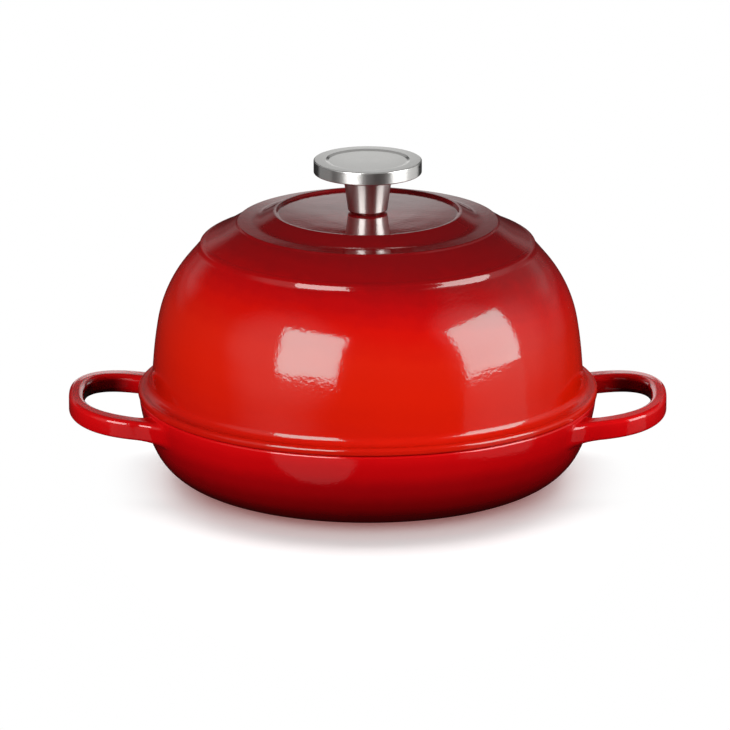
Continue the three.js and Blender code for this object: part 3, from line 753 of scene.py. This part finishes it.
lid_inside = [
    (HOLE_R, CEILING_Z), (46, CEILING_Z, 30), (66.5, CEILING_Z - CEILING_DROP, 18), (89, SEAT_Z + 82.6, 18),
    (SHOULDER[0] - 6.2, SHOULDER[1] - 2.2, 65), (WAIST[0] - 4.9, WAIST[1], 215), (LIP_R - LID_WALL, SEAT_Z),
    (LIP_R - LID_WALL, SEAT_Z - LIP_H, 1), (LIP_R, SEAT_Z - LIP_H, 1), (LIP_R, SEAT_Z, 0.5)]
lid_dome = [
    (FLANGE_R, SEAT_Z, 1.2), (FLANGE_R, FLANGE_TOP, 2.0), (FOOT_R, FLANGE_TOP, 4.6), (*WAIST, 220), (*SHOULDER, 70)]
lid_crown = [
    (STEP_R + 0.8, STEP_Z - 2.6, 5), (STEP_R, STEP_Z, 2.0), (STEP_R - 1.7, STEP_Z + 1.05, 1.5),
    (STEP_R - 3.2, STEP_Z + 1.55, 1.5), (*BAND_HOLLOW, 80), (RING_R + 0.8, RING_Z - 1.1, 0.8), (RING_R, RING_Z, 0.8),
    (*RING_HOLLOW, 12), (CREST_R, CREST_Z, 0.8), (CREST_R - CREST_W, CREST_Z, 0.6)]
lid_dish = [
    (DISH_R, DISH_EDGE_Z, 0.8), (40, DISH_EDGE_Z + 0.42, 200), (28, DISH_EDGE_Z + 0.78, 200), (16, DISH_TOP_Z, 200),
    (HOLE_R, DISH_TOP_Z), (HOLE_R, CEILING_Z)]
lid = turned(
    "lid", lid_inside + lid_dome + lid_crown + lid_dish, LID_STEPS, lid_enamel, black_enamel, len(lid_inside))
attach(lid, "lid")
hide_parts("lid_dome")

# %% [markdown]
# ## Knob
# The knob is a thick disc on a stem that narrows towards the lid, with a shallow hollow turned into its top and a
# blind bore for the screw. At its foot the stem is turned a little thinner, which gives the dark line where it meets
# the dish. It is one outline again, walked from the bore outwards and over the top.

# %% Knob
STEM_Z = DISH_TOP_Z + 0.1
STEM_FOOT_R, STEM_TOP_R = 10.9, 13.9
RELIEF_R, RELIEF_H = 9.4, 0.8
DISC_R, DISC_Z = 30.1, DISH_Z + 23.7
TOP_Z = DISC_Z + 7.4
HOLLOW_R, HOLLOW_FLOOR_R, HOLLOW_Z = 23.4, 21.8, TOP_Z - 0.6
BORE_R, BORE_Z = 3.3, DISH_Z + 17.3
KNOB_STEPS = 192

knob = turned("knob", [
    (0, BORE_Z), (BORE_R, BORE_Z), (BORE_R, STEM_Z), (RELIEF_R, STEM_Z), (RELIEF_R, STEM_Z + RELIEF_H),
    (STEM_FOOT_R, STEM_Z + RELIEF_H, 1.0), (STEM_TOP_R, DISC_Z, 1.5), (DISC_R, DISC_Z, 0.7), (DISC_R, TOP_Z, 0.7),
    (HOLLOW_R, TOP_Z, 0.8), (HOLLOW_FLOOR_R, HOLLOW_Z, 1.0), (0, HOLLOW_Z)], KNOB_STEPS, satin_steel)
metal_only.objects.link(knob)
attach(knob, "lid")
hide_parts("lid_knob")

# %% [markdown]
# ## Screw and washer
# A slotted screw with a washer holds the knob from inside the lid. Both are turned. The slot is cut with a Boolean,
# because it is the one thing here that isn't round. The cutting block is thrown away afterwards.

# %% Screw and washer
WASHER_R, WASHER_HOLE_R = 9, 3.4
WASHER_TOP = CEILING_Z - 0.3
WASHER_LOW = WASHER_TOP - 1.6
HEAD_R, SCREW_R, TIP_R = 6, 3, 2.2
HEAD_TOP = WASHER_LOW - 0.3
HEAD_LOW = HEAD_TOP - 3.6
TIP_Z = DISH_Z + 14.3
SLOT_LENGTH, SLOT_W, SLOT_DEPTH = 16, 1.6, 1.8
FITTING_STEPS = 96

washer = turned("washer", [
    (WASHER_HOLE_R, WASHER_LOW), (WASHER_R, WASHER_LOW, 0.3), (WASHER_R, WASHER_TOP, 0.3),
    (WASHER_HOLE_R, WASHER_TOP), (WASHER_HOLE_R, WASHER_LOW)], FITTING_STEPS, zinc_steel)
screw = turned("screw", [
    (0, HEAD_LOW), (HEAD_R, HEAD_LOW, 2.2), (HEAD_R, HEAD_TOP, 0.2), (SCREW_R, HEAD_TOP, 0.2),
    (SCREW_R, TIP_Z - 0.8), (TIP_R, TIP_Z), (0, TIP_Z)], FITTING_STEPS, zinc_steel)
cutter_mesh = bpy.data.meshes.new("slot cutter")
block = bmesh.new()
bmesh.ops.create_cube(block, size=1)
bmesh.ops.scale(block, vec=Vector((SLOT_LENGTH, SLOT_W, 2 * SLOT_DEPTH)) * MM, verts=block.verts)
bmesh.ops.translate(block, vec=(0, 0, HEAD_LOW * MM), verts=block.verts)
block.to_mesh(cutter_mesh)
block.free()
cutter_mesh.materials.append(zinc_steel)
cutter = bpy.data.objects.new("slot cutter", cutter_mesh)
scene.collection.objects.link(cutter)
cut = screw.modifiers.new("slot", "BOOLEAN")
cut.object, cut.operation, cut.solver = cutter, "DIFFERENCE", "EXACT"
graph = bpy.context.evaluated_depsgraph_get()
screw.data = bpy.data.meshes.new_from_object(screw.evaluated_get(graph))
screw.modifiers.clear()
bpy.data.objects.remove(cutter)
for piece, node in ((screw, "knob_screw"), (washer, "knob_washer")):
    metal_only.objects.link(piece)
    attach(piece, "lid")
    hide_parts(node)
print("screw volume in cm3 and open edges:", volume_cm3(screw.data))

# %% [markdown]
# ## Pan
# The pan is a turned bowl too, but its handles are cast in one with it and flow out of the wall, so it isn't left to
# the tree. Its outline is turned into rows and columns of points here. Where a handle's arm grows out of the wall, a
# block of faces is left out and the gap is filled by a fan of loops that leaves the wall, bends into the arm and
# runs around to the middle of the bar. Half a handle made this way is mirrored and turned to make both. A Boolean
# would join them faster, but it leaves a hard line instead of a fillet.
# The outline comes first: outside from the middle of the foot up to the rim, inside from there down to the floor with
# its low rings. The rows where the arms grow out are set evenly.

# %% Pan outline
PAN_STEPS = 336
ROOT_ROWS = 16
ROOT_LOW, ROOT_HIGH = 28.8, 46.3
STAND_R, STAND_H = (74, 76), 0.8
TURN_R = RIM_R - 17.6
BELLY = (RIM_R - 1.7, 32.8)
RIM_TOP_R = 124
LAND_R = RIM_R - 7
FLOOR_Z = 5.0
RIB_RADII = (28, 50, 72)
RIB_CORNERS = ((3, 0, 1.5), (1.2, 1.2, 0.8), (-1.2, 1.2, 0.8), (-3, 0, 1.5))

outside, _ = outline([
    (0, STAND_H), (STAND_R[0], STAND_H, 0.8), (STAND_R[1], 0, 0.8), (TURN_R, 0, 34), (*BELLY, 85),
    (RIM_R, RIM_H, 1.4), (RIM_TOP_R, RIM_H)])
ribs = [(r + dr, FLOOR_Z + dz, edge) for r in reversed(RIB_RADII) for dr, dz, edge in RIB_CORNERS]
inside, _ = outline([
    (RIM_TOP_R, RIM_H), (LAND_R, RIM_H, 0.8), (BELLY[0] - 6.2, 33, 80), (TURN_R - 3.2, FLOOR_Z, 29), *ribs,
    (0, FLOOR_Z)])
climb = outside[np.argmax(outside[:, 0] >= TURN_R) :]
climb = climb[: np.argmax(climb[:, 1]) + 1]


def wall_radius(z):
    return np.interp(z, climb[:, 1], climb[:, 0])


root_z = np.linspace(ROOT_LOW, ROOT_HIGH, ROOT_ROWS + 1)
on_wall = (outside[:, 0] > TURN_R) & (outside[:, 1] > ROOT_LOW - 0.5) & (outside[:, 1] < ROOT_HIGH + 0.1)
below = outside[: np.argmax(on_wall)]
above = outside[len(outside) - np.argmax(on_wall[::-1]) :]
pan_rows = np.concatenate([below, np.stack([wall_radius(root_z), root_z], 1), above, inside[1:]])
first_root_row = len(below)
first_black_row = len(below) + ROOT_ROWS + len(above)
print("pan rows:", len(pan_rows), "rim at mm:", round(pan_rows[:, 1].max(), 1))

# %% [markdown]
# The bowl is a plain grid: each row is a ring of points, and faces join each ring to the next one. On the four roots of
# the handles the faces are left out, and the faces on the inside are noted, because they get the black enamel.

# %% Bowl
ROOT_COLUMNS = (11, 29)


def bowl():
    angles = np.arange(PAN_STEPS) * math.tau / PAN_STEPS
    points = np.stack([
        np.outer(pan_rows[:, 0], np.cos(angles)), np.outer(pan_rows[:, 0], np.sin(angles)),
        np.repeat(pan_rows[:, 1:], PAN_STEPS, 1)], 2)
    low, high = ROOT_COLUMNS
    half = PAN_STEPS // 2
    faces, black = [], []
    for i in range(len(pan_rows) - 1):
        in_root = first_root_row <= i < first_root_row + ROOT_ROWS
        for k in range(PAN_STEPS):
            from_x = min(k % half, half - 1 - k % half)
            if in_root and low <= from_x < high:
                continue
            a, b = i * PAN_STEPS + k, i * PAN_STEPS + (k + 1) % PAN_STEPS
            faces.append((a, b, b + PAN_STEPS, a + PAN_STEPS))
            black.append(i >= first_black_row)
    return points.reshape(-1, 3), faces, black


bowl_points, bowl_faces, bowl_black = bowl()
print("bowl faces:", len(bowl_faces))

# %% [markdown]
# An arm's section is a rectangle with four different roundings: softest inside the loop, where the fingers meet it, and
# crispest outside underneath. The points are counted like those on the edge of the block that was left out, so every
# loop has the same number and joins the next one point by point.

# %% Handle section
LOOP_REACH, LOOP_SHOULDER, LOOP_HALF = 35, 1.3, 45.9
LOOP_SQUARENESS = 2.5
LOOP_HEIGHT = 10.8
ARM_WIDTH, BAR_WIDTH = 12.9, 8.6
OUT_TOP, IN_TOP, IN_LOW, OUT_LOW = 2.6, 3.6, 3.2, 1.8
CORNER_STEPS = 6
LOOP_RISE = math.tan(math.radians(6.5))
ARM_X = RIM_R - LOOP_SHOULDER
ARM_Z = RIM_H - 7.8
ACROSS = ROOT_COLUMNS[1] - ROOT_COLUMNS[0]


def arm_section(width):
    """Points (out from the loop's middle, and up) and their normals, from the outer bottom corner along the bottom."""
    o, u = width / 2, LOOP_HEIGHT / 2
    corners = [(o, -u, OUT_LOW), (-o, -u, IN_LOW), (-o, u, IN_TOP), (o, u, OUT_TOP)]
    quarter = CORNER_STEPS
    points, normals = [], []
    for i, (x, y, r) in enumerate(corners):
        nx, ny, nr = corners[(i + 1) % 4]
        run = np.array([nx - x, ny - y]) / np.hypot(nx - x, ny - y)
        out = np.array([run[1], -run[0]])
        out = out if out @ np.array([x + nx, y + ny]) > 0 else -out
        flats = (ACROSS if i % 2 == 0 else ROOT_ROWS) - 2 * quarter
        for radius, corner, sign, ends in ((r, (x, y), -1, True), (nr, (nx, ny), 1, False)):
            middle = np.array(corner) - out * radius - sign * run * radius
            turns = np.linspace(0, math.pi / 4, quarter + 1)
            turns = turns[::-1] if ends else turns
            for t in turns[:-1] if not ends else turns:
                normal = out * math.cos(t) + sign * run * math.sin(t)
                points.append(middle + radius * normal)
                normals.append(normal)
            if ends:
                start = points[-1]
                stop = np.array((nx, ny)) - nr * run
                for s in np.arange(1, flats) / flats:
                    points.append(start + (stop - start) * s)
                    normals.append(out)
    return np.array(points), np.array(normals)


section, _ = arm_section(ARM_WIDTH)
print("points around an arm:", len(section), "needed:", 2 * (ACROSS + ROOT_ROWS))

# %% [markdown]
# The arm meets the wall in a fillet. Each point of the section is first slid back along the arm until it meets the
# wall. From there the fillet starts a certain way along the wall, wide on the outside, narrower inside the loop, and
# thin on top, where the rim is near. A Bezier curve, tangent to the wall and to the arm, joins the two. From there the
# bar follows a squarish half ellipse, rises slightly and gets slimmer. Each point also gets its share of painted shade:
# most on the faces that look into the loop and down, none at the root.

# %% Half a handle
FILLET_OUT, FILLET_IN, FILLET_UP, FILLET_DOWN = 12.5, 6.5, 1.3, 4.0
FILLET_END_X = 128.6
FILLET_STEPS = 9
WALL_STEPS = 3
BAR_STEPS = 48
PULL = 0.56
SETTLE_ROUNDS = 8
LINE_POINTS = 4000
SHADE_RUN, SHADE_INWARD, SHADE_DOWN = 20.0, 0.95, 0.6


def arm_points(x, y, along, shape):
    z = ARM_Z + (x - ARM_X) * LOOP_RISE
    return np.stack([x + shape[:, 0] * along[1], y - shape[:, 0] * along[0], z + shape[:, 1]], 1)


def on_the_wall(angle, z):
    return np.stack([wall_radius(z) * np.cos(angle), wall_radius(z) * np.sin(angle), z], 1)


def block_edge():
    low, high = (-ROOT_COLUMNS[1], -ROOT_COLUMNS[0])
    columns = np.concatenate([np.arange(low, high), np.full(ROOT_ROWS, high), np.arange(high, low, -1),
                              np.full(ROOT_ROWS, low)])
    rows = np.concatenate([np.zeros(ACROSS), np.arange(ROOT_ROWS), np.full(ACROSS, ROOT_ROWS),
                           np.arange(ROOT_ROWS, 0, -1)])
    return columns * math.tau / PAN_STEPS, root_z[rows.astype(int)]


def half_handle():
    shape, normals = arm_section(ARM_WIDTH)
    y = -LOOP_HALF - shape[:, 0]
    x = np.full(len(shape), ARM_X)
    for _ in range(SETTLE_ROUNDS):
        z = ARM_Z + (x - ARM_X) * LOOP_RISE + shape[:, 1]
        x = np.sqrt(wall_radius(z) ** 2 - y**2)
    foot = np.stack([x, y, z], 1)
    slide = np.where(normals[:, 0] > 0, FILLET_OUT, FILLET_IN) * normals[:, 0]
    lift = np.where(normals[:, 1] > 0, FILLET_UP, FILLET_DOWN) * normals[:, 1]
    start_angle, start_z = np.arctan2(y, x) - slide / RIM_R, z + lift
    edge_angle, edge_z = block_edge()
    loops = [on_the_wall(edge_angle + (start_angle - edge_angle) * t, edge_z + (start_z - edge_z) * t)
             for t in np.linspace(0, 1, WALL_STEPS + 1)]
    arm = arm_points(FILLET_END_X, -LOOP_HALF, (1, 0), shape)
    begin = loops[-1]
    shades = [np.zeros(len(shape))] * (WALL_STEPS + 1 + FILLET_STEPS)
    pulls = [begin, begin + PULL * (foot - begin), arm + PULL * (foot - arm), arm]
    for t in np.linspace(0, 1, FILLET_STEPS + 1)[1:]:
        weights = [(1 - t) ** 3, 3 * t * (1 - t) ** 2, 3 * t**2 * (1 - t), t**3]
        loops.append(sum(w * p for w, p in zip(weights, pulls)))
    bar, bar_shades = bar_loops()
    return loops + bar, shades + bar_shades


def bar_loops():
    length = LOOP_REACH + LOOP_SHOULDER
    x = ARM_X + length * np.sin(np.linspace(0, math.pi / 2, LINE_POINTS)) ** 2
    x = x[x >= FILLET_END_X]
    y = -LOOP_HALF * np.clip(1 - ((x - ARM_X) / length) ** LOOP_SQUARENESS, 0, 1) ** (1 / LOOP_SQUARENESS)
    line = np.stack([x, y], 1)
    line[-1] = (ARM_X + length, 0)
    run = np.concatenate([[0], np.cumsum(np.linalg.norm(np.diff(line, axis=0), axis=1))])
    tangent = np.gradient(line, run, axis=0)
    loops, shades = [], []
    for s in np.linspace(0, run[-1], BAR_STEPS + 1)[1:]:
        at = [np.interp(s, run, line[:, i]) for i in (0, 1)]
        along = np.array([np.interp(s, run, tangent[:, i]) for i in (0, 1)])
        along = np.array([0, 1]) if s == run[-1] else along / np.linalg.norm(along)
        fade = min(1, s / SHADE_RUN)
        fade = fade * fade * (3 - 2 * fade)
        shape, normals = arm_section(ARM_WIDTH + (BAR_WIDTH - ARM_WIDTH) * along[1] ** 2)
        loops.append(arm_points(*at, along, shape))
        # Painted shade: strongest on the faces that look into the loop and down.
        shades.append(np.clip(-SHADE_INWARD * normals[:, 0] - SHADE_DOWN * normals[:, 1], 0, 1) * fade)
    return loops, shades


handle_loops, handle_shades = half_handle()
print("loops in half a handle:", len(handle_loops))

# %% [markdown]
# The four halves and the bowl share their edge points, so a weld makes them one skin. A mirrored half has its faces
# turned round, or it would be inside out. The volume of the whole is the test again.

# %% Pan
def skin(loops, first, flip):
    count = len(loops[0])
    faces = []
    for i in range(len(loops) - 1):
        for j in range(count):
            a, b = first + i * count + j, first + i * count + (j + 1) % count
            face = (a, b, b + count, a + count)
            faces.append(face[::-1] if flip else face)
    return faces


points, faces, black = list(bowl_points), list(bowl_faces), list(bowl_black)
shade = [np.zeros(len(bowl_points))]
for turn_x, mirror_y in ((1, 1), (1, -1), (-1, 1), (-1, -1)):
    placed = [loop * (turn_x, mirror_y, 1) for loop in handle_loops]
    new_faces = skin(placed, len(points), turn_x * mirror_y < 0)
    points.extend(np.concatenate(placed))
    shade.extend(handle_shades)
    faces.extend(new_faces)
    black.extend([False] * len(new_faces))
pan_mesh = bpy.data.meshes.new("pan")
pan_mesh.from_pydata([tuple(p) for p in np.array(points) * MM], [], faces)
pan_mesh.materials.append(pan_enamel)
pan_mesh.materials.append(black_enamel)
pan_mesh.polygons.foreach_set("material_index", np.array(black, np.int32))
pan_mesh.polygons.foreach_set("use_smooth", np.ones(len(faces), bool))
# The painted shade of the handles goes on the mesh as a value named shade.
loop_shade_layer = pan_mesh.attributes.new("shade", "FLOAT", "POINT")
loop_shade_layer.data.foreach_set("value", np.concatenate(shade).astype(np.float32))
shell = bmesh.new()
shell.from_mesh(pan_mesh)
bmesh.ops.remove_doubles(shell, verts=shell.verts, dist=WELD * MM)
shell.to_mesh(pan_mesh)
shell.free()
pan = bpy.data.objects.new("pan", pan_mesh)
scene.collection.objects.link(pan)
pan_only.objects.link(pan)
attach(pan, "base")
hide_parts("base_pan")
print("pan faces:", len(pan_mesh.polygons), "volume in cm3 and open edges:", volume_cm3(pan_mesh))
